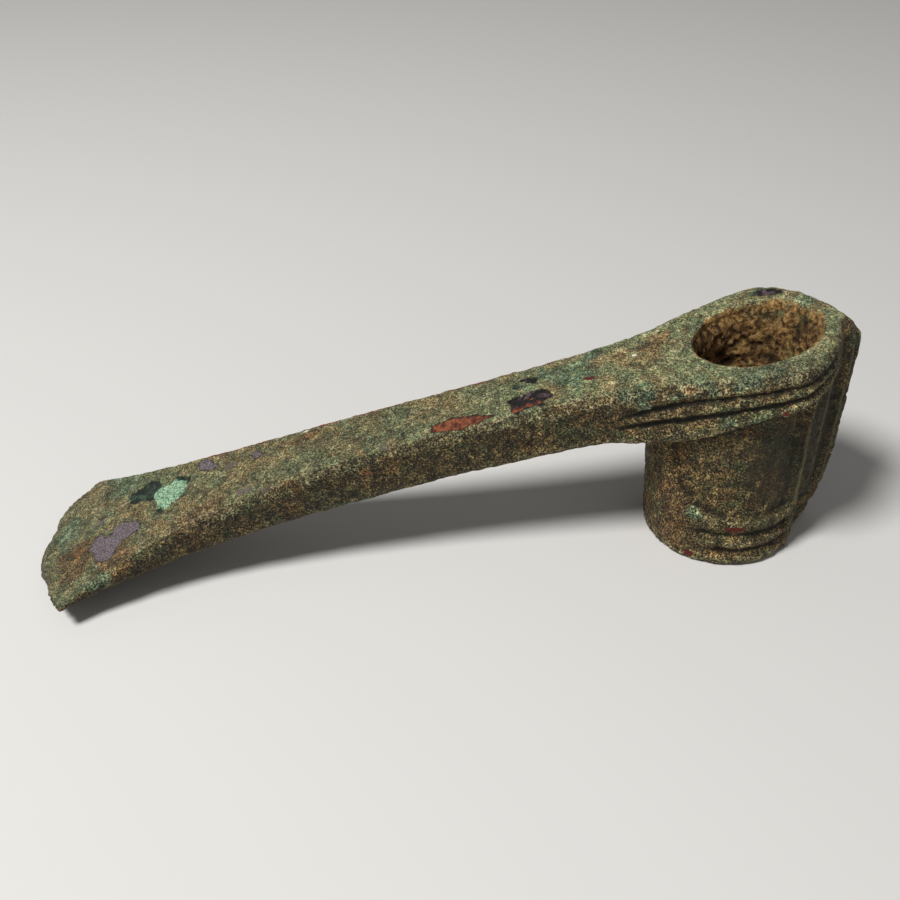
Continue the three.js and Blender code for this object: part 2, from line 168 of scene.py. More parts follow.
# The keel: flutes between its ribs, its foot, its rounded crown under the collar, and its ribs' places.
# A pair holds the value at the foot and the value above
FLUTE_DEEP, FLUTE_POWER, FLUTE_POINTS = 1.7, 1.2, 22
KEEL_LEVELS = (12.4, 18.6)
KEEL_FOOT_REACH = 20.4
KEEL_SWELL_HEIGHT = 24
KEEL_CROWN_START = 11.7
KEEL_CROWN_HEIGHT = 11.2
KEEL_CROWN_POWER = 2.3
KEEL_CROWN_DROP = 6.6
SHOULDER_X, SHOULDER_Y = (9.8, 10.1), (15.6, 13.4)
SHOULDER_STAND = 0.6
SECOND_X, SECOND_Y = (15.3, 17.2), (6.6, 6.7)
SECOND_CROWN_SHARE = 0.35
THIRD_BACK, THIRD_Y = 1.9, 2.5
THIRD_CROWN_SHARE = 0.8
TIP_BACK, TIP_Y = 0.6, 1.2

# The shaft hole. A pair holds the value at the foot and the value at the mouth
BORE_X = (-4.7, -2.6)
BORE_LONG = (15.1, 15.7)
BORE_WIDE = (15.0, 13.6)
BORE_TILT_LEVELS = (8, 46)
MOUTH_LIP = 1.0
FOOT_LIP = 0.9
OVERRUN = 6
BORE_RINGS, BORE_POINTS = 120, 180

# The noise lattice's cells, how deep a mark goes, and the remeshed casting's grain
LATTICE = 32
MARK_DEPTH = 2.5
VOXEL = 0.63
FIRST_VOXEL_SHARE = 0.7


def lerp(start, end, share):
    """The value at a share of the way from start to end."""
    return start + (end - start) * share


def ease(value, low, high):
    """Smooth step: 0 at low, 1 at high, three times the share squared less twice its cube between them."""
    share = np.clip((value - low) / (high - low), 0, 1)
    return share * share * (3 - 2 * share)


def round_off(radius, distance):
    """Inset of a quarter-circle rounding at a distance from the edge that it rounds."""
    left = np.clip(radius - distance, 0, radius)
    return radius - np.sqrt(radius**2 - left**2)


def noise(points, size, seed):
    """Smooth random field from -1 to 1: random values on a cubic lattice of that cell size, which
    repeats after so many cells, blended by the smooth step."""
    table = np.random.default_rng(seed).uniform(-1, 1, (LATTICE, LATTICE, LATTICE))
    cell = points / size
    base = np.floor(cell).astype(int)
    share = cell - base
    share = share * share * (3 - 2 * share)
    total = np.zeros(points.shape[:-1])
    for corner in range(8):
        step = np.array([corner & 1, corner >> 1 & 1, corner >> 2 & 1])
        weight = np.prod(np.where(step == 1, share, 1 - share), axis=-1)
        index = (base + step) % LATTICE
        total += weight * table[index[..., 0], index[..., 1], index[..., 2]]
    return total


def top_height(x):
    """Height of the top face: the tilted mouth plane, a square hump and a cubic droop along the blade."""
    share = np.clip((ROOT_X - x) / (CORNER_REACH + EDGE_BULGE + ROOT_X), 0, 1)
    return MOUTH + x * FALL + HUMP * share**2 - DROOP * share**3


def edge_reach(y):
    """Reach of the worn cutting edge across the blade: a parabola, lopsided by a sine, turned, nicked."""
    across = np.clip(y / EDGE_HALF, -1, 1)
    worn = EDGE_LOPSIDED * np.sin(np.pi * across) - EDGE_TURN * across + np.interp(y, NICK_AT, NICK)
    return CORNER_REACH + EDGE_BULGE * (1 - across**2) + worn


def half_width(share, widest):
    """Half the blade's width: a narrow waist, spread at its root and flared by a power to the edge."""
    flare = (widest - WAIST_HALF) * share**FLARE_POWER
    return WAIST_HALF + flare + ROOT_SPREAD * np.exp(-share / ROOT_SPREAD_SHARE)


def thickness_at(x, y):
    """Thickness under the top face: thin at the edge, a bell-shaped swelling at the root, an even collar."""
    share = np.clip((ROOT_X - x) / (edge_reach(y) + ROOT_X), 0, 1)
    blade = EDGE_THICK + BLADE_THICK * (1 - share**THINNING_POWER)
    collar = lerp(blade, COLLAR_THICK, ease(x, COLLAR_START_X, CORNER_X))
    return collar + ROOT_SWELL * np.exp(-(((x - ROOT_SWELL_X) / ROOT_SWELL_REACH) ** 2))


def outline_loop():
    """Closed outline seen from above, a point every half millimetre, softened by a Gaussian. Its columns
    are x, y and the x of the spine beside it. Each side runs along edge, flank, collar and back."""
    sides = []
    for side, widest in ((1, FAR_HALF), (-1, NEAR_HALF)):
        share = np.linspace(0, 1, EDGE_POINTS)
        spine = -CORNER_REACH - EDGE_BULGE * SPINE_EDGE_SHARE * (1 - share)
        edge = np.stack([-edge_reach(side * widest * share), widest * share, spine], -1)
        share = np.linspace(0.995, 0.004, FLANK_POINTS)
        x = ROOT_X - share * (edge_reach(side * widest) + ROOT_X)
        spine = ROOT_X - share * (CORNER_REACH + ROOT_X)
        flank = np.stack([x, half_width(share, widest), spine], -1)
        along, across = np.array(SIDE_SHARES).T
        x = lerp(ROOT_X, CORNER_X, along)
        collar = np.stack([x, lerp(COLLAR_ROOT_HALF, COLLAR_HALF, across), x], -1)
        along, across = np.array(ROUND_SHARES).T
        x = lerp(CORNER_X, COLLAR_BACK, along)
        back = np.stack([x, COLLAR_HALF * across, SPINE_BACK_SHARE * x], -1)
        half_loop = np.concatenate([edge, flank, collar, back])
        half_loop[:, 1] *= side
        sides.append(half_loop)
    loop = np.concatenate([sides[0], sides[1][::-1][1:]])
    along = np.concatenate([[0], np.cumsum(np.hypot(*np.diff(loop[:, :2], axis=0).T))])
    at = np.linspace(0, along[-1], int(along[-1] / OUTLINE_STEP), endpoint=False)
    loop = np.stack([np.interp(at, along, loop[:, column]) for column in range(3)], -1)
    spread = math.ceil(3 * OUTLINE_SOFTNESS)
    offsets = np.arange(-spread, spread + 1)
    weights = np.exp(-((offsets / OUTLINE_SOFTNESS) ** 2) / 2)
    weights /= weights.sum()
    return sum(weight * np.roll(loop, -offset, axis=0) for weight, offset in zip(weights, offsets))


def blade_inset(y, depth, thick, far):
    """How far the blade's flank stands in from the outline: a lean, and quarter rounds above and below."""
    ridge = np.minimum(lerp(NEAR_RIDGE_ROUND, FAR_RIDGE_ROUND, far), thick / 2)
    lean = FLANK_LEAN * np.abs(y) * depth / thick
    under = np.minimum(UNDER_RIDGE_ROUND, thick / 2)
    return lean + round_off(ridge, depth) + round_off(under, thick - depth)


def collar_inset(x, depth, thick, far):
    """How far the mouth collar stands in: three ribs, power curves that meet in the grooves, and rounds."""
    upper, lower = np.interp(x, GROOVE_AT, UPPER_GROOVE), np.interp(x, GROOVE_AT, LOWER_GROOVE)
    rim = np.clip((depth / upper - RIM_FLAT_SHARE) / (1 - RIM_FLAT_SHARE), 0, 1) ** RIM_POWER
    rib = np.abs((2 * depth - upper - lower) / (lower - upper)) ** RIB_POWER
    rib_foot = FOOT_RIB_SHARE * (thick - lower)
    foot = np.clip((lower + rib_foot - depth) / rib_foot, 0, 1) ** RIB_POWER
    lobes = np.where(depth < upper, rim, np.where(depth < lower, rib, foot))
    rounds = round_off(lerp(NEAR_RIM_ROUND, FAR_RIM_ROUND, far), depth)
    return COLLAR_GROOVE * lobes + rounds + round_off(UNDER_RIM_ROUND, thick - depth)


def band_surface():
    """Blade and mouth collar: the outline loop carried down through the section's depth, with the top
    and the bottom face closed along the spine. The near side is more worn than the far one."""
    loop = outline_loop()
    x, y, spine = (loop[:, column, None] for column in range(3))
    along = np.roll(loop, -1, axis=0)[:, :2] - np.roll(loop, 1, axis=0)[:, :2]
    along /= np.linalg.norm(along, axis=1)[:, None]
    out_x, out_y = -along[:, 1, None], along[:, 0, None]
    thick = thickness_at(x, y)
    depth = np.linspace(0, 1, DEPTH_POINTS)[None, :] * thick
    far = ease(y, -WEAR_CHANGE_Y, WEAR_CHANGE_Y)
    blade, collar = blade_inset(y, depth, thick, far), collar_inset(x, depth, thick, far)
    inset = np.minimum(lerp(blade, collar, ease(x, *GROOVE_FADE_X)), 0.5 * np.hypot(x - spine, y))
    side_x, side_y = x - inset * out_x, y - inset * out_y
    flank = np.stack([side_x, side_y, top_height(side_x) - depth], -1)
    outwards = np.linspace(0, 1, FACE_POINTS, endpoint=False)[None, :]
    x, y = lerp(spine, side_x[:, :1], outwards), side_y[:, :1] * outwards
    top = np.stack([x, y, top_height(x)], -1)
    inwards = outwards[:, ::-1]
    x, y = lerp(spine, side_x[:, -1:], inwards), side_y[:, -1:] * inwards
    bottom = np.stack([x, y, top_height(x) - thickness_at(x, y)], -1)
    return np.concatenate([top, flank, bottom], axis=1)


def foot_grooves(z, share):
    """Depth of the foot collar's grooves, power curves away from the middle of each rib. They start part
    of the way round, the lower one later than the upper one."""
    low_start, high_start = ease(share, *LOW_START_SHARES), ease(share, *HIGH_START_SHARES)
    low = FOOT_GROOVE * np.abs((z - LOW_RIB) / LOW_RIB_HALF) ** RIB_POWER * low_start
    middle_start = lerp(low_start, high_start, ease(z, *START_CHANGE_LEVELS))
    middle = FOOT_GROOVE * np.abs((z - MIDDLE_RIB) / MIDDLE_RIB_HALF) ** RIB_POWER * middle_start
    top = FOOT_GROOVE * np.clip((TOP_RIB_END - z) / TOP_RIB_FALL, 0, 1) ** RIB_POWER * high_start
    return np.where(z < FOOT_GROOVE_LEVELS[0], low, np.where(z < FOOT_GROOVE_LEVELS[1], middle, top))


def panel_recess(z, share):
    """Depth of the recessed side panel, a smooth step in from its edges. Its front edge sweeps forward with
    height, by a falling exponential."""
    fall = np.exp(-(np.maximum(z, PANEL_SWEEP_FOOT) - PANEL_SWEEP_START) / PANEL_SWEEP_HEIGHT)
    edge = PANEL_EDGE_SHARE + PANEL_SWEEP_SHARE * fall
    across = ease(share, edge - 0.01, edge + PANEL_FRONT_SOFT) * ease(1 - share, 0, PANEL_BACK_SOFT)
    return PANEL_DEEP * ease(z, *PANEL_LEVELS) * across


def fluted(start, end, depth):
    """Points between two upright ribs, dished by a half sine wave that is a little flattened at its ends."""
    share = np.linspace(0, 1, FLUTE_POINTS, endpoint=False)[None, :]
    start_x, start_y, end_x, end_y = (np.broadcast_to(value, depth.shape) for value in (*start, *end))
    length = np.hypot(end_x - start_x, end_y - start_y)
    dip = depth * np.sin(np.pi * share) ** FLUTE_POWER
    x = lerp(start_x, end_x, share) + dip * (end_y - start_y) / length
    return x, lerp(start_y, end_y, share) + dip * (start_x - end_x) / length


def keel_half(z, rise, buried, cut):
    """One side of the keel, from the tube to the middle plane: three flutes between upright ribs. It swells
    up from its foot by a parabola, and its crown falls away under the collar by a power."""
    upper = ease(z, *KEEL_LEVELS)
    crown = np.clip((KEEL_CROWN_START - (MOUTH - z)) / KEEL_CROWN_HEIGHT, 0, 1) ** KEEL_CROWN_POWER
    crown = crown * KEEL_CROWN_DROP
    reach = lerp(KEEL_FOOT_REACH, KEEL_REACH, 1 - (1 - np.clip(z / KEEL_SWELL_HEIGHT, 0, 1)) ** 2)
    stand = (SHOULDER_STAND * upper - buried) * math.sqrt(0.5)
    shoulder = (lerp(*SHOULDER_X, rise) + stand, lerp(*SHOULDER_Y, rise) + stand)
    second = (lerp(*SECOND_X, upper) - SECOND_CROWN_SHARE * crown, lerp(*SECOND_Y, upper))
    third = (reach - THIRD_BACK - THIRD_CROWN_SHARE * crown, THIRD_Y + 0 * z)
    nose = reach - crown
    tip = (nose - TIP_BACK, TIP_Y + 0 * z)
    ribs = [shoulder, second, third, tip]
    flutes = [fluted(start, end, FLUTE_DEEP * upper) for start, end in zip(ribs, ribs[1:])]
    x = np.concatenate([flute[0] for flute in flutes] + [tip[0], nose], axis=1) - cut
    y = np.concatenate([flute[1] for flute in flutes] + [tip[1], 0 * z], axis=1) - cut
    return x, np.maximum(y, 0)


def tube_surface():
    """Socket tube, foot collar and keel: rings stacked up the socket, level at the foot and tilting to the
    mouth plane. A half ring is part of an ellipse and then the keel's side. Inside the collar it shrinks."""
    z = np.linspace(0, TUBE_TOP, TUBE_RINGS)[:, None]
    rise = np.clip(z / COLLAR_LEVEL, 0, 1)
    fillet = TUBE_FRONT_FILLET * ease(rise, FILLET_START_SHARE, 1) ** 2
    front = TUBE_FRONT_X - TUBE_FRONT_LEAN * rise - fillet
    buried = BURIED * ease(z, *BURIED_LEVELS)
    half_length, half_wide = (TUBE_BACK_X - front) / 2 - buried, lerp(*TUBE_HALF, rise) - buried
    share = np.linspace(0, 1, TUBE_POINTS)[None, :]
    angle = TUBE_TURN * share
    grooves = foot_grooves(z, share)
    inset = grooves + panel_recess(z, share)
    oval_x = (front + TUBE_BACK_X) / 2 - (half_length - inset) * np.cos(angle)
    oval_y = (half_wide - inset) * np.sin(angle)
    keel_x, keel_y = keel_half(z, rise, buried, KEEL_GROOVE_SHARE * grooves[:, -1:])
    half_x, half_y = np.concatenate([oval_x, keel_x], axis=1), np.concatenate([oval_y, keel_y], axis=1)
    x = np.concatenate([half_x, half_x[:, -2:0:-1]], axis=1)
    y = np.concatenate([-half_y, half_y[:, -2:0:-1]], axis=1)
    tilt = np.clip((z - TILT_START) / (COLLAR_LEVEL - TILT_START), 0, 1)
    return np.stack([x, y, z + tilt * x * FALL], -1)


def bore_ring(z, inset, steps):
    """Oval rings of the shaft hole. Their centre and half axes run straight from the foot to the mouth, and
    they tilt to the mouth plane."""
    angle = np.linspace(0, 2 * np.pi, steps, endpoint=False)[None, :]
    share = z / MOUTH
    x = lerp(*BORE_X, share) + (lerp(*BORE_LONG, share) - inset) * np.cos(angle)
    y = (lerp(*BORE_WIDE, share) - inset) * np.sin(angle)
    return np.stack([x, y, z + ease(z, *BORE_TILT_LEVELS) * x * FALL], -1)


def bore_surface():
    """The cutter of the shaft hole: its rings, past both ends, widened by a quarter round at either lip."""
    z = np.concatenate([[-OVERRUN], np.linspace(0, MOUTH, BORE_RINGS), [MOUTH + OVERRUN]])[:, None]
    flare = round_off(MOUTH_LIP, MOUTH - z) * (z > MOUTH / 2) + round_off(FOOT_LIP, z) * (z < MOUTH / 2)
    return bore_ring(z, -flare, BORE_POINTS)


def mesh_object(name, points, loops, counts):
    """Mesh object of points in metres, with its faces as vertex numbers and a number of corners each."""
    mesh = bpy.data.meshes.new(name)
    mesh.vertices.add(len(points))
    mesh.vertices.foreach_set("co", points.ravel())
    mesh.loops.add(len(loops))
    mesh.loops.foreach_set("vertex_index", loops.astype(np.int32))
    mesh.polygons.add(len(counts))
    mesh.polygons.foreach_set("loop_start", (np.cumsum(counts) - counts).astype(np.int32))
    mesh.update(calc_edges=True)
    mesh.validate()
    obj = bpy.data.objects.new(name, mesh)
    bpy.context.scene.collection.objects.link(obj)
    return obj


def grid_object(name, grid, wrap_rows=False, wrap_columns=False, caps=False):
    """Mesh object of a grid of points in millimetres: a face per cell, wrapped round either way, with flat
    end caps if asked."""
    rows, columns = grid.shape[:2]
    row = np.arange(rows if wrap_rows else rows - 1)[:, None]
    column = np.arange(columns if wrap_columns else columns - 1)[None, :]
    corners = [(row, column), (row, column + 1), (row + 1, column + 1), (row + 1, column)]
    quads = [(down % rows) * columns + across % columns for down, across in corners]
    quads = np.stack(quads, -1).reshape(-1, 4)
    ends = [np.arange(columns)[::-1], (rows - 1) * columns + np.arange(columns)] if caps else []
    counts = np.concatenate([np.full(len(quads), 4), [len(end) for end in ends]]).astype(np.int32)
    loops = np.concatenate([quads.ravel(), *ends])
    return mesh_object(name, grid.reshape(-1, 3) * MM + np.array([SHIFT * MM, 0, 0]), loops, counts)


def read_all(items, key, width, kind=float):
    """One property of all the items of a mesh, as a flat array."""
    values = np.empty(len(items) * width, kind)
    items.foreach_get(key, values)
    return values


def joined(name, objects):
    """One mesh object from several, their faces kept as they are."""
    points, loops, counts, shift = [], [], [], 0
    for obj in objects:
        points.append(read_all(obj.data.vertices, "co", 3, np.float32).reshape(-1, 3))
        loops.append(read_all(obj.data.loops, "vertex_index", 1, np.int32) + shift)
        counts.append(read_all(obj.data.polygons, "loop_total", 1, np.int32))
        shift += len(obj.data.vertices)
        bpy.data.objects.remove(obj)
    return mesh_object(name, np.concatenate(points), np.concatenate(loops), np.concatenate(counts))


def applied(obj, kind, **settings):
    """Works one modifier into the object's mesh."""
    modifier = obj.modifiers.new(kind.lower(), kind)
    for key, value in settings.items():
        setattr(modifier, key, value)
    seen = obj.evaluated_get(bpy.context.evaluated_depsgraph_get())
    mesh = bpy.data.meshes.new_from_object(seen)
    obj.modifiers.clear()
    obj.data = mesh


def read_points(obj):
    """Vertices of a mesh object in millimetres about the socket, and their normals."""
    points = read_all(obj.data.vertices, "co", 3).reshape(-1, 3) / MM - np.array([SHIFT, 0, 0])
    return points, read_all(obj.data.vertices, "normal", 3).reshape(-1, 3)


def write_points(obj, points):
    """Puts vertices back in metres, kept inside the CAD part's own box."""
    places = np.clip(points * MM + np.array([SHIFT * MM, 0, 0]), cad_low, cad_high)
    obj.data.vertices.foreach_set("co", places.ravel())
    obj.data.update()


def shade_smooth(obj):
    """Sets every face of the object to smooth shading."""
    obj.data.polygons.foreach_set("use_smooth", np.ones(len(obj.data.polygons), bool))


def add_field(obj, name, values):
    """Stores one number per vertex for the material to read."""
    field = obj.data.attributes.new(name, "FLOAT", "POINT")
    field.data.foreach_set("value", values.astype(np.float32))


def averaged(obj, values, rounds):
    """Three numbers per vertex, each averaged with its neighbours' numbers several times over."""
    first, second = read_all(obj.data.edges, "vertices", 2, np.int32).reshape(-1, 2).T
    ends, others = np.concatenate([first, second]), np.concatenate([second, first])
    count = np.bincount(ends, minlength=len(values))
    for _ in range(rounds):
        sums = [np.bincount(ends, values[others, axis], len(values)) for axis in range(3)]
        values = np.stack([total / count for total in sums], -1)
    return values


def cavity(obj, rounds):
    """How far each vertex lies under the average of its surroundings: above 0 in hollows."""
    points, normals = read_points(obj)
    return ((averaged(obj, points, rounds) - points) * normals).sum(axis=1)


def blob(points, x, y, reach_x, reach_y, turn=0.0, z=None, reach_z=4.0):
    """How far inside a turned ellipsoid each point lies: 1 at its middle, 0 on its skin, below 0 outside.
    Its middle lies on the top face where no height is given."""
    offset = points - np.array([x, y, top_height(x) if z is None else z])
    cosine, sine = math.cos(math.radians(turn)), math.sin(math.radians(turn))
    along = (offset[:, 0] * cosine + offset[:, 1] * sine) / reach_x
    across = (offset[:, 1] * cosine - offset[:, 0] * sine) / reach_y
    return 1 - np.sqrt(along**2 + across**2 + (offset[:, 2] / reach_z) ** 2)


def blobs(points, ragged, seed, *shapes):
    """The largest of several blobs, its outline made ragged by two sizes of noise."""
    ripple = ragged * (noise(points, 2.6, seed) + 0.6 * noise(points, 1.1, seed + 1))
    return np.max([blob(points, *shape) for shape in shapes], axis=0) + ripple


def patch(points, ragged, seed, outline, shrunk=0.0):
    """Signed distance in millimetres inside a closed outline of x, y points on the top face, made ragged by
    two sizes of noise."""
    corners = np.array(outline)
    x, y = points[:, 0], points[:, 1]
    nearest, inside = np.full(len(points), np.inf), np.zeros(len(points), bool)
    for (start_x, start_y), (end_x, end_y) in zip(corners, np.roll(corners, -1, axis=0)):
        run, climb = end_x - start_x, end_y - start_y
        along = np.clip(((x - start_x) * run + (y - start_y) * climb) / (run**2 + climb**2), 0, 1)
        nearest = np.minimum(nearest, np.hypot(x - start_x - along * run, y - start_y - along * climb))
        crosses = (start_y > y) != (end_y > y)
        inside ^= crosses & (x < start_x + (y - start_y) * run / (climb + 1e-12))
    away = np.abs(points[:, 2] - top_height(x)) - MARK_DEPTH
    ripple = ragged * (noise(points, 1.6, seed) + 0.6 * noise(points, 0.9, seed + 1))
    return np.minimum(np.where(inside, nearest, -nearest), -away) + ripple - shrunk


def patches(points, *shapes):
    """The largest of several patches."""
    return np.maximum.reduce([patch(points, *shape) for shape in shapes])


band = grid_object("band", band_surface(), wrap_rows=True)
tube = grid_object("tube", tube_surface(), wrap_columns=True, caps=True)
casting = joined("casting", [band, tube])
applied(casting, "REMESH", mode="VOXEL", voxel_size=FIRST_VOXEL_SHARE * VOXEL * MM)
bore = grid_object("bore", bore_surface(), wrap_columns=True, caps=True)
applied(casting, "BOOLEAN", operation="DIFFERENCE", object=bore, solver="EXACT")
applied(casting, "REMESH", mode="VOXEL", voxel_size=VOXEL * MM)
bpy.data.objects.remove(bore)

# The keel's crown is softened by averaging, and then the hollows and ridges are measured
points, normals = read_points(casting)
crown = ease(points[:, 0], 12, 16) * ease(points[:, 2] - top_height(points[:, 0]), -9, -5)
write_points(casting, lerp(points, averaged(casting, points, 15), crown[:, None]))
groove, shadow = cavity(casting, 7), cavity(casting, 51)
points, normals = read_points(casting)
x, y, z = points.T
on_top = ease(normals[:, 2], 0.72, 0.95) * ease(z - top_height(x), -3, -1)
reach = np.clip((ROOT_X - x) / (CORNER_REACH + ROOT_X), 0, 1)

# Bare lilac metal, clear and faint. A faint line also follows the cutting edge
lilac = patches(
    points,
    (0.4, 11, [(-172, -2), (-169, -1.5), (-165.5, -3), (-164, -5), (-164, -7), (-167, -8.5),
               (-169.5, -10.5), (-170, -13), (-172, -15), (-173.5, -14.5), (-175, -13), (-176.5, -9),
               (-178.5, -7), (-178, -5), (-175.5, -2), (-174, -4.5), (-172.5, -5)]),
    (0.35, 12, [(-149, 12), (-147.5, 12), (-145.5, 10.5), (-143, 7), (-146.5, 6.5), (-148.5, 8.5)]),
    (0.25, 13, [(-134, 6.5), (-133, 7.5), (-132, 7), (-131, 5), (-132.5, 4), (-133.5, 5)]))
faint = patches(
    points,
    (0.4, 14, [(-142, 7), (-140, 7), (-138, 6), (-138, 4), (-141, 4)]),
    (0.4, 15, [(-179.5, 2.5), (-178.5, 4.5), (-175.5, 4.5), (-174.5, 3), (-178, 2)]),
    (0.6, 16, [(-138.5, -8), (-138, -6.5), (-136, -6.5), (-133, -7.5), (-133, -9.5), (-137, -9.5)]),
    (0.5, 17, [(-131.5, -10), (-130.5, -9.5), (-128, -9.5), (-128.5, -10.5), (-130.5, -11)]),
    (0.5, 18, [(-100.5, -8), (-99.5, -6.5), (-97, -7), (-97.5, -9), (-98.5, -9)]))
faint = np.maximum(faint, 1.2 - (x + edge_reach(y)) + 0.7 * noise(points, 2.2, 19))

# Red copper oxide: sunken patches, small spots, and a thin line along the far ridge
cuprite = patches(
    points,
    (0.3, 21, [(-87, -7), (-86, -5), (-82, -4), (-78.5, -4), (-74, -5.5), (-70.5, -7), (-74, -8),
               (-79.5, -8.5), (-85, -8)]),
    (0.6, 22, [(-66, -8), (-66.5, -7), (-65.5, -6), (-62, -4.5), (-58, -5.5), (-58, -6.5), (-63, -7),
               (-64, -8)]),
    (0.5, 25, [(-62, -3.5), (-60.5, -2.5), (-57, -2.5), (-56.5, -3.5), (-58.5, -4), (-60.5, -4)], 0.3))
oxide = blobs(points, 0.3, 24, (-45.9, -1.6, 1.7, 0.9, -12), (-7.4, -20.4, 2.7, 1.6, 0, 12.4, 1.3),
              (-18.1, -16.6, 1.9, 1.6, 0, 1.9, 1.2), (-1.2, -21.4, 1.3, 1.4, 0, 51.0, 0.5))
red_line = 1.2 - np.abs(y - (half_width(reach, FAR_HALF) - 0.5))
red_line += 0.8 * noise(points, 7, 48) + 0.5 * noise(points, 1.5, 49)
red_line -= 2 * ease(np.abs(x + 98), 44, 56) + 2 * ease(top_height(x) - z, 1.0, 2.4)

# Ochre stains, white flecks, black scars and dark pits
ochre = np.maximum(
    patch(points, 0.6, 23, [(-121, 8), (-119.5, 8.5), (-117.5, 7), (-115, 6.5), (-117.5, 5.5), (-120, 5.5)]),
    blobs(points, 0.5, 26, (-24.4, -15.2, 2.6, 1.6, 10, 54.6, 1.5), (-104, -11, 3.0, 1.6, 0, 32, 1.6),
          (-181, -6, 3.0, 2.2, 0)))
fleck = blobs(points, 0.2, 27, (-33.1, 3.6, 0.7, 0.6), (-146.6, 14.8, 1.3, 0.6), (-119.2, 9.2, 1.0, 0.4),
              (-20.3, -19.6, 0.9, 0.6, 0, 43.0, 0.6), (-24.0, -14.9, 0.6, 0.6, 0, 41.0, 0.6))
scar = patches(
    points,
    (1.1, 31, [(-67.5, -2.5), (-66, -1.5), (-61, -1), (-56.5, -1), (-55.5, -3), (-55.5, -5.5), (-57.5, -6),
               (-58, -7.5), (-62, -8), (-65, -9), (-67, -7), (-66.5, -4.5)], 0.4),
    (0.5, 32, [(-62, 5), (-60, 5.5), (-57.5, 4), (-59, 2.5), (-61, 3.5)]))
scar = np.maximum(scar, blobs(points, 0.3, 33, (5.4, 16.6, 3.4, 1.4, -20)))
pit = patches(
    points,
    (0.35, 41, [(-169, 8), (-169, 10), (-166.5, 11), (-163.5, 12.5), (-161, 11.5), (-159.5, 8), (-161, 6),
                (-161, 3.5), (-162, 3), (-164, 5), (-167, 5), (-168.5, 6.5)]),
    (0.25, 42, [(-156, 9), (-154.5, 9.5), (-151.5, 7.5), (-151, 4.5), (-153.5, 6.5), (-155, 7.5)]),
    (0.25, 43, [(-160.5, -1.5), (-159, -1.5), (-157.5, -3.5), (-158, -4.5), (-159.5, -3.5)]),
    (0.25, 44, [(-94.5, -5), (-93.5, -4), (-93, -5), (-93.5, -5.5)]),
    (0.35, 45, [(-64.5, 3.5), (-63, 3.5), (-62.5, 2), (-63.5, 1.5), (-64.5, 2)]))
pit = np.maximum(pit, blobs(points, 0.3, 46, (-177.4, -25.0, 2.0, 1.2, 35)))

# Brown and green zones, stronger near the cutting edge
rust = blobs(points, 0.5, 45, (-148.0, -10.5, 12.0, 3.0, 14), (-28.0, 6.0, 10.0, 6.0, 20),
             (-119.0, 7.0, 7.0, 2.5, 5), (-24.4, -15.2, 5.0, 3.0, 10, 54.0, 2.5),
             (-22.0, -12.0, 5.0, 8.0, 0, 14.0, 16.0), (-95.0, -12.0, 8.0, 3.0, 0, 33.0, 4.0))
rust_tip = blobs(points, 0.3, 45, (-182.0, -9.0, 9.0, 9.0, 0), (-170.0, -15.5, 12.0, 5.5, 25))
rust = np.maximum(rust, 2.2 * rust_tip)
verdigris = blobs(points, 0.5, 51, (-24.0, -16.0, 9.0, 4.0, 14, 55.5, 4.0),
                  (-8.1, -18.5, 7.0, 4.0, 12, 59.0, 3.4), (-36.0, -11.5, 8.0, 3.0, 8, 50.5, 4.0),
                  (-18.6, -16.2, 3.6, 3.0, 0, 15.0, 2.0), (3.5, 18.6, 3.6, 3.0, 0),
                  (-173.0, -22.5, 5.0, 3.5, 30), (-8.0, -20.0, 6.0, 3.0, 0, 46.0, 2.6),
                  (-52.0, 3.0, 14.0, 7.0, 10), (14.0, 9.0, 5.0, 4.0, -40))
verdigris_tip = blobs(points, 0.3, 53, (-172.0, 17.0, 13.0, 7.5, 15), (-186.0, 5.0, 5.0, 7.0, 0))
verdigris = np.maximum(verdigris, 2.0 * verdigris_tip)

# Earth round the mouth of the shaft hole, and painted shade on the panels, the keel and the near rim
EARTH_RIM = 1.3
level = z / MOUTH
oval_x = (x - lerp(*BORE_X, level)) / (BORE_LONG[1] + EARTH_RIM)
oval_y = y / (lerp(*BORE_WIDE, level) + EARTH_RIM)
sunk = top_height(x) - z + 1.2 * noise(points, 3.0, 47)
earth = ease(1 - (oval_x**2 + oval_y**2), 0, 0.06) * ease(sunk, -0.2, 1.0)
# Painted shade: the panels and keel on either side, and the near rim
either_side = np.stack([x, -np.abs(y), z], -1)
painted_shade = blobs(either_side, 0.35, 52, (5, -18, 18, 9, 0, 31, 17), (19, -8, 10, 12, 0, 34, 31))
rim_shade = blobs(points, 0.3, 54, (2, -18, 27, 5.5, 0, 60.5, 5.5))

# The corroded relief: swellings, grain, pocks, sunken marks and a raised scab on the near side
smooth_skin = np.maximum(ease(lilac, 0, 0.4), ease(cuprite, 0, 0.4))
rough_side = lerp(1.45, 0.8, on_top)
relief = 0.12 * noise(points, 21, 1) + 0.06 * noise(points, 8, 2)
grain = 0.06 * noise(points, 3.4, 3) + 0.1 * noise(points, 1.8, 4) + 0.11 * noise(points, 1.15, 5)
pock = np.clip(noise(points, 2.7, 6) + 0.4 * noise(points, 1.3, 7) - 0.5, 0, 1)
relief += (grain * rough_side - 0.4 * pock) * (1 - 0.8 * smooth_skin)
relief -= 0.4 * ease(pit, -0.2, 0.5) + 0.25 * ease(cuprite, -0.2, 0.3) + 0.4 * ease(scar, -0.1, 0.6)
scab = blob(points, -1.2, -21.4, 2.6, 3.0, 0, 50.8, 1.3)
relief += 0.08 * ease(lilac, -0.1, 0.2) + 0.9 * ease(scab, 0, 0.8)
write_points(casting, points + normals * (relief - 0.08)[:, None])
shade_smooth(casting)
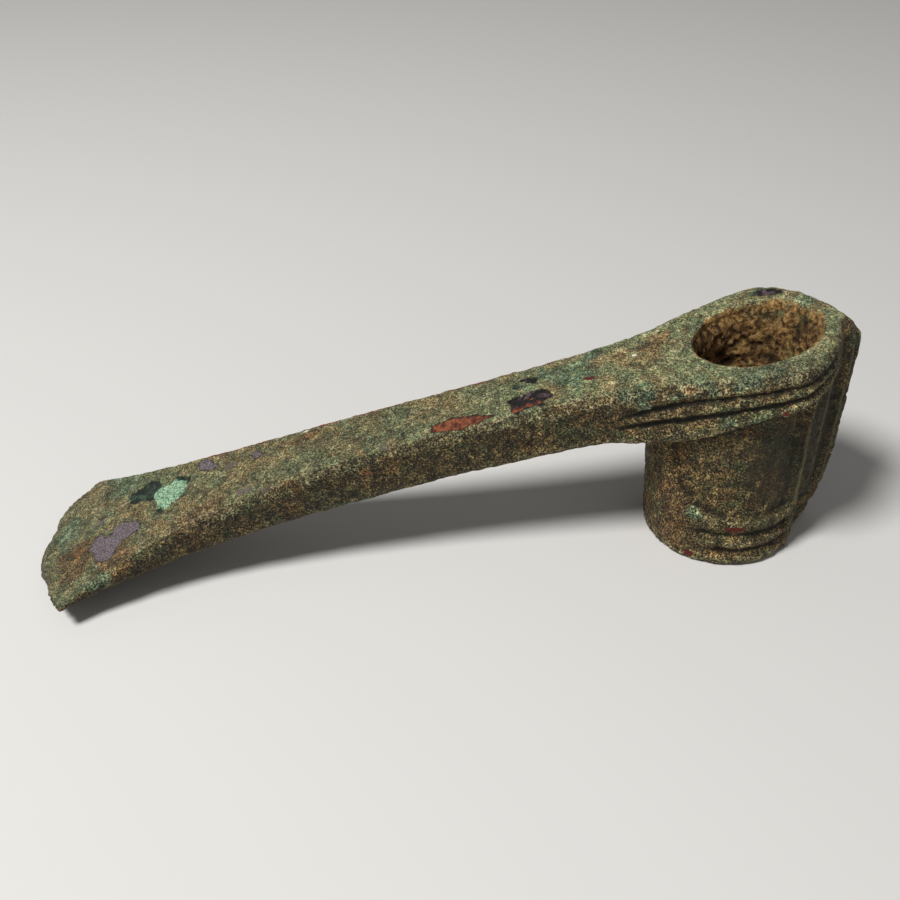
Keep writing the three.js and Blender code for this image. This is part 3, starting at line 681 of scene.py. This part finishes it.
fields = {"on_top": on_top, "reach": reach, "groove": groove, "shadow": shadow, "hollow": cavity(casting, 2),
          "lilac": lilac, "faint": faint, "cuprite": cuprite, "oxide": oxide, "red_line": red_line,
          "ochre": ochre, "fleck": fleck, "scar": scar, "pit": pit, "rust": rust, "verdigris": verdigris,
          "earth": earth, "painted_shade": painted_shade, "rim_shade": rim_shade}
for name, values in fields.items():
    add_field(casting, name, values)


def linear(red, green, blue):
    """A colour given as it looks on screen, 0 to 255, as the linear one that a socket holds."""
    screen = np.array([red, green, blue]) / 255
    return (*np.where(screen < 0.04045, screen / 12.92, ((screen + 0.055) / 1.055) ** 2.4), 1.0)


class Paint:
    """A material's node tree, written as short expressions. Positions are millimetres in the row frame."""

    def __init__(self, name):
        """Starts the tree with its shader and its place vector, object coordinates times a thousand."""
        self.material = bpy.data.materials.new(name)
        self.material.use_nodes = True
        self.tree = self.material.node_tree
        self.surface = self.tree.nodes["Principled BSDF"]
        place = self.tree.nodes.new("ShaderNodeTexCoord").outputs["Object"]
        scale = self.tree.nodes.new("ShaderNodeVectorMath")
        scale.operation = "SCALE"
        scale.inputs["Scale"].default_value = 1 / MM
        self.tree.links.new(place, scale.inputs[0])
        self.place = scale.outputs[0]

    def put(self, socket, value):
        """Fills a socket with a link, a number, or a colour given as it looks on screen."""
        if isinstance(value, bpy.types.NodeSocket):
            self.tree.links.new(value, socket)
        elif isinstance(value, tuple):
            socket.default_value = linear(*value)
        else:
            socket.default_value = value

    def field(self, name):
        """The number that the mesh stores under a name."""
        node = self.tree.nodes.new("ShaderNodeAttribute")
        node.attribute_name = name
        return node.outputs["Fac"]

    def noise(self, size, detail=2.0, roughness=0.5, warp=0.0):
        """Blender's noise, from 0 to 1, of that size in millimetres."""
        node = self.tree.nodes.new("ShaderNodeTexNoise")
        self.put(node.inputs["Vector"], self.place)
        self.put(node.inputs["Scale"], 1 / size)
        self.put(node.inputs["Detail"], detail)
        self.put(node.inputs["Roughness"], roughness)
        self.put(node.inputs["Distortion"], warp)
        return node.outputs["Fac"]

    def math(self, operation, first, second):
        """Two numbers put together by a math node."""
        node = self.tree.nodes.new("ShaderNodeMath")
        node.operation = operation
        self.put(node.inputs[0], first)
        self.put(node.inputs[1], second)
        return node.outputs[0]

    def product(self, first, *others):
        """The product of several numbers."""
        for factor in others:
            first = self.math("MULTIPLY", first, factor)
        return first

    def ramp(self, value, low, high, to_low=0.0, to_high=1.0):
        """Smooth step of a value from low to high, stretched to run from to_low to to_high."""
        node = self.tree.nodes.new("ShaderNodeMapRange")
        node.interpolation_type = "SMOOTHSTEP"
        keys = ("Value", "From Min", "From Max", "To Min", "To Max")
        for key, number in zip(keys, (value, low, high, to_low, to_high)):
            self.put(node.inputs[key], number)
        return node.outputs[0]

    def mix(self, share, under, over, blend="MIX"):
        """A colour laid over another by a share."""
        node = self.tree.nodes.new("ShaderNodeMix")
        node.data_type = "RGBA"
        node.blend_type = blend
        self.put(node.inputs[0], share)
        self.put(node.inputs[6], under)
        self.put(node.inputs[7], over)
        return node.outputs[2]

    def tone(self, value, low, high, first, second):
        """The first colour where a value is low, changing to the second where it is high."""
        return self.mix(self.ramp(value, low, high), first, second)

    def lay(self, skin, value, low, high, tint, most=1.0):
        """Lays a tint over the skin where a value rises from low to high, at most by that share."""
        return self.mix(self.ramp(value, low, high, 0, most), skin, tint)

    def bump(self, height, distance, under=None, strength=1.0):
        """A normal roughened by a height, that many millimetres from 0 to 1, over another normal."""
        node = self.tree.nodes.new("ShaderNodeBump")
        self.put(node.inputs["Strength"], strength)
        self.put(node.inputs["Distance"], distance * MM)
        self.put(node.inputs["Height"], height)
        if under is not None:
            self.put(node.inputs["Normal"], under)
        return node.outputs[0]

    def finish(self, color, roughness, normal=None):
        """Links the shader, with the weak gloss of a dull crust, and gives the material."""
        self.put(self.surface.inputs["Base Color"], color)
        self.put(self.surface.inputs["Roughness"], roughness)
        self.put(self.surface.inputs["Specular IOR Level"], 0.25)
        if normal is not None:
            self.put(self.surface.inputs["Normal"], normal)
        return self.material


# The patina's colours, as they look on screen, with those of its painted highlights and painted shade
TAN, OLIVE, GREY_GREEN = (136, 120, 80), (112, 118, 82), (96, 108, 76)
PALE, BROWN = (168, 158, 118), (132, 96, 60)
SIDE_DARK, SIDE_LIGHT, SIDE_GREEN, SIDE_RUST = (72, 56, 31), (116, 95, 55), (70, 74, 45), (110, 75, 36)
RUST_DARK, RUST_LIGHT, OCHRE = (82, 58, 32), (136, 104, 64), (152, 104, 58)
VERDIGRIS_DARK, VERDIGRIS_LIGHT = (62, 82, 60), (124, 146, 112)
# Wear with painted highlight on ridges, painted glints, painted shade, and painted highlights on ribs
WEAR_AND_HIGHLIGHT, GLINT_HIGHLIGHT, PAINTED_SHADE_TINT, RIDGE_HIGHLIGHT = (140, 142, 108), (196, 186, 152), (44, 43, 29), (126, 118, 84)
# Painted shade in wide hollows, in fine hollows and in grooves
SHADOW, HOLLOW_SHADE, GROOVE_SHADE = (24, 21, 13), (28, 24, 14), (20, 17, 10)
RED_LINE, PIT_DARK, PIT_LIGHT = (112, 54, 30), (20, 27, 21), (58, 78, 60)
SCAR_DARK, SCAR_LIGHT, FAINT = (18, 13, 12), (88, 70, 74), (98, 86, 84)
LILAC_RIM, LILAC_DARK, LILAC_LIGHT = (34, 27, 22), (62, 54, 58), (130, 117, 122)
CUPRITE_RIM, CUPRITE_DARK, CUPRITE_LIGHT = (30, 19, 15), (72, 34, 23), (142, 82, 52)
OXIDE_DARK, OXIDE_LIGHT, FLECK = (58, 18, 14), (104, 40, 28), (226, 222, 204)
EARTH_DARK, EARTH_LIGHT, EARTH_GREEN = (94, 65, 34), (180, 138, 80), (104, 104, 66)
CRUMB_LIGHT, CRUMB_DARK = (206, 170, 114), (40, 28, 16)
EARTH_HOLLOW_SHADE, EARTH_SPECK = (36, 25, 15), (34, 23, 13)


def earthy(paint, hollow, mottle, fine):
    """Orange-brown crust of earth and corrosion, crumbly, with painted shade in its hollows."""
    earth = paint.tone(mottle, 0.4, 0.58, EARTH_DARK, EARTH_LIGHT)
    earth = paint.lay(earth, paint.noise(7, 4, 0.6), 0.56, 0.66, EARTH_GREEN, 0.7)
    crumb = paint.noise(1.2, 3, 0.7, 0.3)
    earth = paint.lay(earth, crumb, 0.52, 0.6, CRUMB_LIGHT, 0.7)
    earth = paint.lay(earth, crumb, 0.46, 0.38, CRUMB_DARK, 0.7)
    # Painted shade in the crust's hollows
    earth = paint.lay(earth, hollow, 0.4, 0.9, EARTH_HOLLOW_SHADE, 0.85)
    return paint.mix(paint.ramp(fine, 0.38, 0.5, 0.8, 0), earth, EARTH_SPECK)


paint = Paint("patinated_bronze")
on_top, hollow, reach = paint.field("on_top"), paint.field("hollow"), paint.field("reach")
groove, shadow, painted_shade = paint.field("groove"), paint.field("shadow"), paint.field("painted_shade")
broad, patchy = paint.noise(17, 4, 0.6, 0.4), paint.noise(6, 5, 0.65, 0.6)
mottle, fine, grit = paint.noise(2.6, 3, 0.65, 0.4), paint.noise(0.9, 4, 0.8), paint.noise(0.42, 2, 0.6)
jitter = paint.ramp(fine, 0.35, 0.65, -0.25, 0.25)

# The ground: olive and tan on top, browner on the sides and darker there as painted shade, with brown,
# green and ochre zones
skin = paint.tone(broad, 0.4, 0.6, TAN, OLIVE)
skin = paint.lay(skin, patchy, 0.47, 0.6, GREY_GREEN, 0.7)
skin = paint.lay(skin, mottle, 0.52, 0.64, PALE, 0.6)
skin = paint.lay(skin, paint.noise(3.6, 4, 0.65, 0.6), 0.54, 0.63, BROWN, 0.35)
# The sides' colours: browner, and darker as painted shade
side = paint.tone(mottle, 0.42, 0.6, SIDE_DARK, SIDE_LIGHT)
side = paint.lay(side, patchy, 0.48, 0.6, SIDE_GREEN, 0.85)
side = paint.lay(side, paint.noise(9, 3, 0.6), 0.52, 0.64, SIDE_RUST, 0.55)
skin = paint.mix(paint.ramp(on_top, 0.1, 0.9, 0.9, 0), skin, side)
brown = paint.math("ADD", paint.field("rust"), paint.ramp(patchy, 0.35, 0.7, -0.4, 0.4))
skin = paint.lay(skin, brown, -0.1, 0.6, paint.tone(mottle, 0.4, 0.6, RUST_DARK, RUST_LIGHT), 0.8)
green = paint.math("ADD", paint.field("verdigris"), paint.ramp(patchy, 0.35, 0.7, -0.45, 0.45))
skin = paint.lay(skin, green, -0.1, 0.5, paint.tone(mottle, 0.4, 0.6, VERDIGRIS_DARK, VERDIGRIS_LIGHT), 0.75)
yellow = paint.math("ADD", paint.field("ochre"), paint.ramp(mottle, 0.35, 0.65, -0.5, 0.5))
skin = paint.lay(skin, yellow, -0.1, 0.6, OCHRE, 0.75)

# Worn ridges are paler, partly wear and partly a painted highlight. Then three sizes of grain multiply
# the colour, with painted shade towards the tip, on the sides, on the panels, the keel and the near rim,
# and a painted highlight on convex ridges
# Paler ridges: wear and painted highlight together
worn = paint.product(paint.ramp(shadow, -0.25, -0.75), paint.ramp(reach, 0.7, 0.95, 1, 0),
                     paint.ramp(painted_shade, -0.2, 0.3, 1, 0), paint.ramp(mottle, 0.4, 0.62, 0.0, 0.4))
skin = paint.mix(worn, skin, WEAR_AND_HIGHLIGHT)
crumbs = paint.product(paint.ramp(paint.noise(0.8, 2, 0.6), 0.3, 0.7, 0.6, 1.35),
                       paint.ramp(grit, 0.38, 0.64, 0.32, 1.5))
grain_and_painted_light = paint.product(
    paint.ramp(paint.noise(4.2, 3, 0.6, 0.5), 0.34, 0.66, 0.62, 1.25),
    paint.ramp(paint.noise(1.7, 2, 0.6), 0.3, 0.7, 0.7, 1.3),
    paint.math("POWER", crumbs, paint.ramp(on_top, 0, 1, 1.6, 1.15)),
    # Painted shade towards the tip, on the sides, on the panels and keel and on the near rim, then a painted
    # highlight on convex ridges
    paint.ramp(reach, 0.0, 0.6, 1.15, 0.8),
    paint.ramp(on_top, 0.0, 1.0, 0.85, 1.0),
    paint.ramp(painted_shade, -0.1, 0.8, 1.0, 0.5),
    paint.ramp(paint.field("rim_shade"), -0.1, 0.8, 1.0, 0.55),
    paint.ramp(groove, -0.04, -0.3, 1.0, 1.3))
skin = paint.mix(1.0, skin, grain_and_painted_light, "MULTIPLY")

# Painted highlights as pale glints on the grain, painted shade on the panels and keel with painted
# highlights on their ribs, and black painted shade in the hollows and grooves
# Painted highlights: pale glints on the grain, fewer in the painted shade
painted_glint = paint.product(paint.ramp(grit, 0.56, 0.7, 0, 0.7), paint.ramp(fine, 0.42, 0.62),
                      paint.ramp(painted_shade, -0.2, 0.6, 1.0, 0.5))
skin = paint.mix(painted_glint, skin, GLINT_HIGHLIGHT)
skin = paint.lay(skin, painted_shade, -0.1, 0.6, PAINTED_SHADE_TINT, 0.5)
# Painted highlights on the convex ribs inside the painted shade
ribs = paint.product(paint.ramp(painted_shade, -0.1, 0.6), paint.ramp(groove, -0.03, -0.22, 0, 0.6))
skin = paint.mix(ribs, skin, RIDGE_HIGHLIGHT)
# Painted shade in wide hollows such as under the collar, in fine hollows and in grooves
skin = paint.lay(skin, shadow, 0.08, 0.9, SHADOW, 0.85)
skin = paint.lay(skin, hollow, 0.02, 0.1, HOLLOW_SHADE, 0.8)
skin = paint.lay(skin, groove, 0.06, 0.35, GROOVE_SHADE, 0.9)

# The marks in their order, each with its field, where it starts and is full, its tint and its share
scales = paint.noise(1.6, 3, 0.7)
marks = [
    ("red_line", 0.0, 0.3, RED_LINE, 0.9),
    ("pit", -0.1, 0.1, paint.tone(mottle, 0.4, 0.66, PIT_DARK, PIT_LIGHT), 1.0),
    ("scar", -0.35, 0.15, paint.tone(mottle, 0.5, 0.62, SCAR_DARK, SCAR_LIGHT), 1.0),
    ("faint", -0.1, 0.4, FAINT, 0.65),
    ("lilac", -0.3, -0.12, LILAC_RIM, 1.0),
    ("lilac", 0.0, 0.12, paint.tone(grit, 0.35, 0.65, LILAC_DARK, LILAC_LIGHT), 1.0),
    ("cuprite", -0.3, -0.1, CUPRITE_RIM, 1.0),
    ("cuprite", 0.02, 0.25, paint.tone(scales, 0.4, 0.6, CUPRITE_DARK, CUPRITE_LIGHT), 1.0),
    ("oxide", 0.05, 0.2, paint.tone(fine, 0.4, 0.6, OXIDE_DARK, OXIDE_LIGHT), 1.0),
    ("fleck", 0.0, 0.2, FLECK, 1.0)]
for name, low, high, tint, most in marks:
    skin = paint.lay(skin, paint.math("ADD", paint.field(name), jitter), low, high, tint, most)
clumps, specks = paint.noise(2.4, 5, 0.7, 0.5), paint.noise(0.5, 4, 0.8)
soil = earthy(paint, paint.ramp(hollow, -0.05, 0.1), clumps, specks)
skin = paint.mix(paint.field("earth"), skin, soil)
rough = paint.bump(grit, 0.35, paint.bump(fine, 0.4, paint.bump(paint.noise(1.5, 4, 0.7), 0.7)))
casting.data.materials.append(paint.finish(skin, paint.ramp(fine, 0.35, 0.65, 0.5, 0.85), rough))
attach(casting, "root")
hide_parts("adze_casting")

# Socket concretion
# Burial left an uneven orange-brown crust of earth and corrosion inside the shaft hole. It is
# thickest half way down, thins out under the lip of the mouth and has a green streak at the back.
LINING_FOOT = 4
LINING_TOP = MOUTH - 1.0
LINING_THICK = 1.9
LINING_SUNK = 0.45
LINING_LEAST = -0.35
LINING_BACK = -0.7
LINING_RINGS, LINING_POINTS = 170, 260
STREAK = (92, 114, 84)

level = np.linspace(LINING_TOP, LINING_FOOT, LINING_RINGS)[:, None]
wall = bore_ring(level, 0.0, LINING_POINTS)
lumps = 0.6 * noise(wall, 5.5, 61) + 0.5 * noise(wall, 2.6, 62) + 0.4 * noise(wall, 1.4, 63)
fade = ease(level, LINING_FOOT, 12) * ease(LINING_TOP - level, 0, 5)
crust = np.maximum((LINING_THICK + lumps) * fade - LINING_SUNK, LINING_LEAST)
inner = bore_ring(level, crust, LINING_POINTS)
outer = bore_ring(level[::-1], LINING_BACK, LINING_POINTS)
lining = grid_object("lining", np.concatenate([inner, outer]), wrap_rows=True, wrap_columns=True)
shade_smooth(lining)
places = read_points(lining)[0]
write_points(lining, places)
# Where the crust dips, for painted shade in its hollows
add_field(lining, "hollow", np.concatenate([0.5 - 0.6 * lumps, 0 * outer[..., 0]]).ravel())
add_field(lining, "streak", blobs(places, 0.35, 71, (7.6, 12.4, 2.2, 3.0, 0, 56.0, 7.0),
                                  (6.8, 12.8, 1.8, 3.0, 0, 44.0, 8.0), (12.5, -3.0, 2.5, 2.5, 0, 48.0, 3.0)))

paint = Paint("earthy_concretion")
mottle, fine = paint.noise(2.4, 5, 0.7, 0.5), paint.noise(0.5, 4, 0.8)
soil = earthy(paint, paint.field("hollow"), mottle, fine)
soil = paint.lay(soil, paint.field("streak"), 0.0, 0.4, STREAK, 0.85)
lining.data.materials.append(paint.finish(soil, 0.9, paint.bump(fine, 0.8, paint.bump(mottle, 1.3))))
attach(lining, "root")
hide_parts("socket_concretion")

# Malachite crust
# A raised patch of pale mint-green corrosion sits on the top of the blade near its edge, beside
# the dark pit that it broke away from. It has a ragged outline and a crumbly, cracked top.
FLAKE_OUTLINE = [(-161.5, 5.5), (-160, 6.5), (-157, 7), (-155.5, 8), (-153.5, 7), (-152, 5.5), (-152, 2.5),
                 (-153, 0), (-154.5, -0.5), (-155.5, -2.5), (-156.5, -3.5), (-159.5, -1), (-160, 1.5),
                 (-161, 3.5)]
FLAKE_THICK = 0.6
FLAKE_SUNK = 0.12
FLAKE_BACK = 0.5
FLAKE_RINGS, FLAKE_POINTS = 36, 170
MINT_DARK, MINT_LIGHT, MINT_CRACK = (96, 132, 104), (164, 194, 160), (50, 72, 56)

rim = np.array(FLAKE_OUTLINE)
middle_of = np.arange(len(rim) + 1)
along = np.linspace(0, len(rim), FLAKE_POINTS, endpoint=False)
rim = np.stack([np.interp(along, middle_of, np.append(rim[:, axis], rim[0, axis])) for axis in range(2)], -1)
middle = rim.mean(axis=0)
chips = 1 + 0.15 * noise(np.stack([rim[:, 0], rim[:, 1], 0 * along], -1), 1.1, 80)
ring = np.linspace(0.02, 1, FLAKE_RINGS)[:, None]
x, y = (middle[axis] + ring * (chips * (rim[:, axis] - middle[axis]))[None, :] for axis in range(2))
place = np.stack([x, y, 0 * x], -1)
lumps = 0.2 * noise(place, 1.5, 81) + 0.16 * noise(place, 0.7, 82)
height = FLAKE_THICK * (1 - ring**6) ** 0.6 + lumps * (1 - ring**6)
cover = np.stack([x, y, top_height(x) + height - FLAKE_SUNK], -1)
under = np.stack([x[::-1], y[::-1], top_height(x[::-1]) - FLAKE_BACK], -1)
flake = grid_object("crust", np.concatenate([cover, under]), wrap_columns=True, caps=True)
shade_smooth(flake)
write_points(flake, read_points(flake)[0])

paint = Paint("malachite")
mottle, fine = paint.noise(1.5, 4, 0.7, 0.4), paint.noise(0.5, 3, 0.7)
powder = paint.tone(mottle, 0.35, 0.6, MINT_DARK, MINT_LIGHT)
powder = paint.mix(paint.ramp(fine, 0.42, 0.52, 0.9, 0), powder, MINT_CRACK)
rough = paint.bump(fine, 0.2, paint.bump(mottle, 0.3, strength=0.7), strength=0.9)
flake.data.materials.append(paint.finish(powder, 0.92, rough))
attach(flake, "root")
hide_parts("malachite_crust")

# Floor, light and camera
# A plain pale floor, one soft light from the upper left, a weaker and broader one from the right and an
# even white sky, which the camera sees brighter than it lights. The camera stands where the photo's
# camera stood, above and in front of the near side.
FLOOR_SIZE = 6
FLOOR_GAP = 0.0002
LIGHT_TARGET = (0, 0, 0.03)
SKY_LIGHT, SKY_SEEN = 0.18, 0.6
EYE = (-0.01874, -0.23291, 0.20435)
CAMERA_RIGHT = Vector((0.99525, -0.09704, -0.00697))
CAMERA_UP = Vector((0.06357, 0.59449, 0.80160))
CAMERA_BACK = Vector((-0.07365, -0.79824, 0.59784))
LENS_MM, SENSOR_MM = 44.0, 36.0

bpy.ops.mesh.primitive_plane_add(size=FLOOR_SIZE, location=(0, 0, cad_low[2] - FLOOR_GAP))
floor = bpy.context.object
floor.name = "floor"
paint = Paint("pale_floor")
floor.data.materials.append(paint.finish((206, 204, 200), 0.9))
floor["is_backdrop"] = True


def area_light(name, place, size, power):
    """A round light of that size in metres and power in watts, turned to the object."""
    light = bpy.data.objects.new(name, bpy.data.lights.new(name, "AREA"))
    light.data.shape, light.data.size, light.data.energy = "DISK", size, power
    light.location = place
    light.rotation_mode = "QUATERNION"
    light.rotation_quaternion = (Vector(LIGHT_TARGET) - Vector(place)).to_track_quat("-Z", "Y")
    bpy.context.scene.collection.objects.link(light)
    light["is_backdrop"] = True


area_light("key", (-0.5, -0.32, 1.02), 0.3, 16.0)
area_light("fill", (0.6, -0.9, 0.5), 0.9, 0.6)
world = bpy.data.worlds.new("sky")
world.use_nodes = True
tree = world.node_tree
sky, rays = tree.nodes["Background"], tree.nodes.new("ShaderNodeLightPath")
seen, level = tree.nodes.new("ShaderNodeMath"), tree.nodes.new("ShaderNodeMapRange")
seen.operation = "MAXIMUM"
level.inputs["To Min"].default_value = SKY_LIGHT
level.inputs["To Max"].default_value = SKY_SEEN
tree.links.new(rays.outputs["Is Camera Ray"], seen.inputs[0])
tree.links.new(rays.outputs["Is Glossy Ray"], seen.inputs[1])
tree.links.new(seen.outputs[0], level.inputs["Value"])
tree.links.new(level.outputs[0], sky.inputs["Strength"])
sky.inputs["Color"].default_value = (1, 1, 1, 1)
scene = bpy.context.scene
scene.world = world

camera = bpy.data.objects.new("camera", bpy.data.cameras.new("camera"))
scene.collection.objects.link(camera)
turn = Matrix((CAMERA_RIGHT, CAMERA_UP, CAMERA_BACK)).transposed().to_4x4()
camera.matrix_world = Matrix.Translation(EYE) @ turn
camera.data.lens, camera.data.sensor_width = LENS_MM, SENSOR_MM
camera.data.clip_start, camera.data.clip_end = 0.01, 20
scene.camera = camera
scene.view_settings.view_transform = "Standard"

low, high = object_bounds()
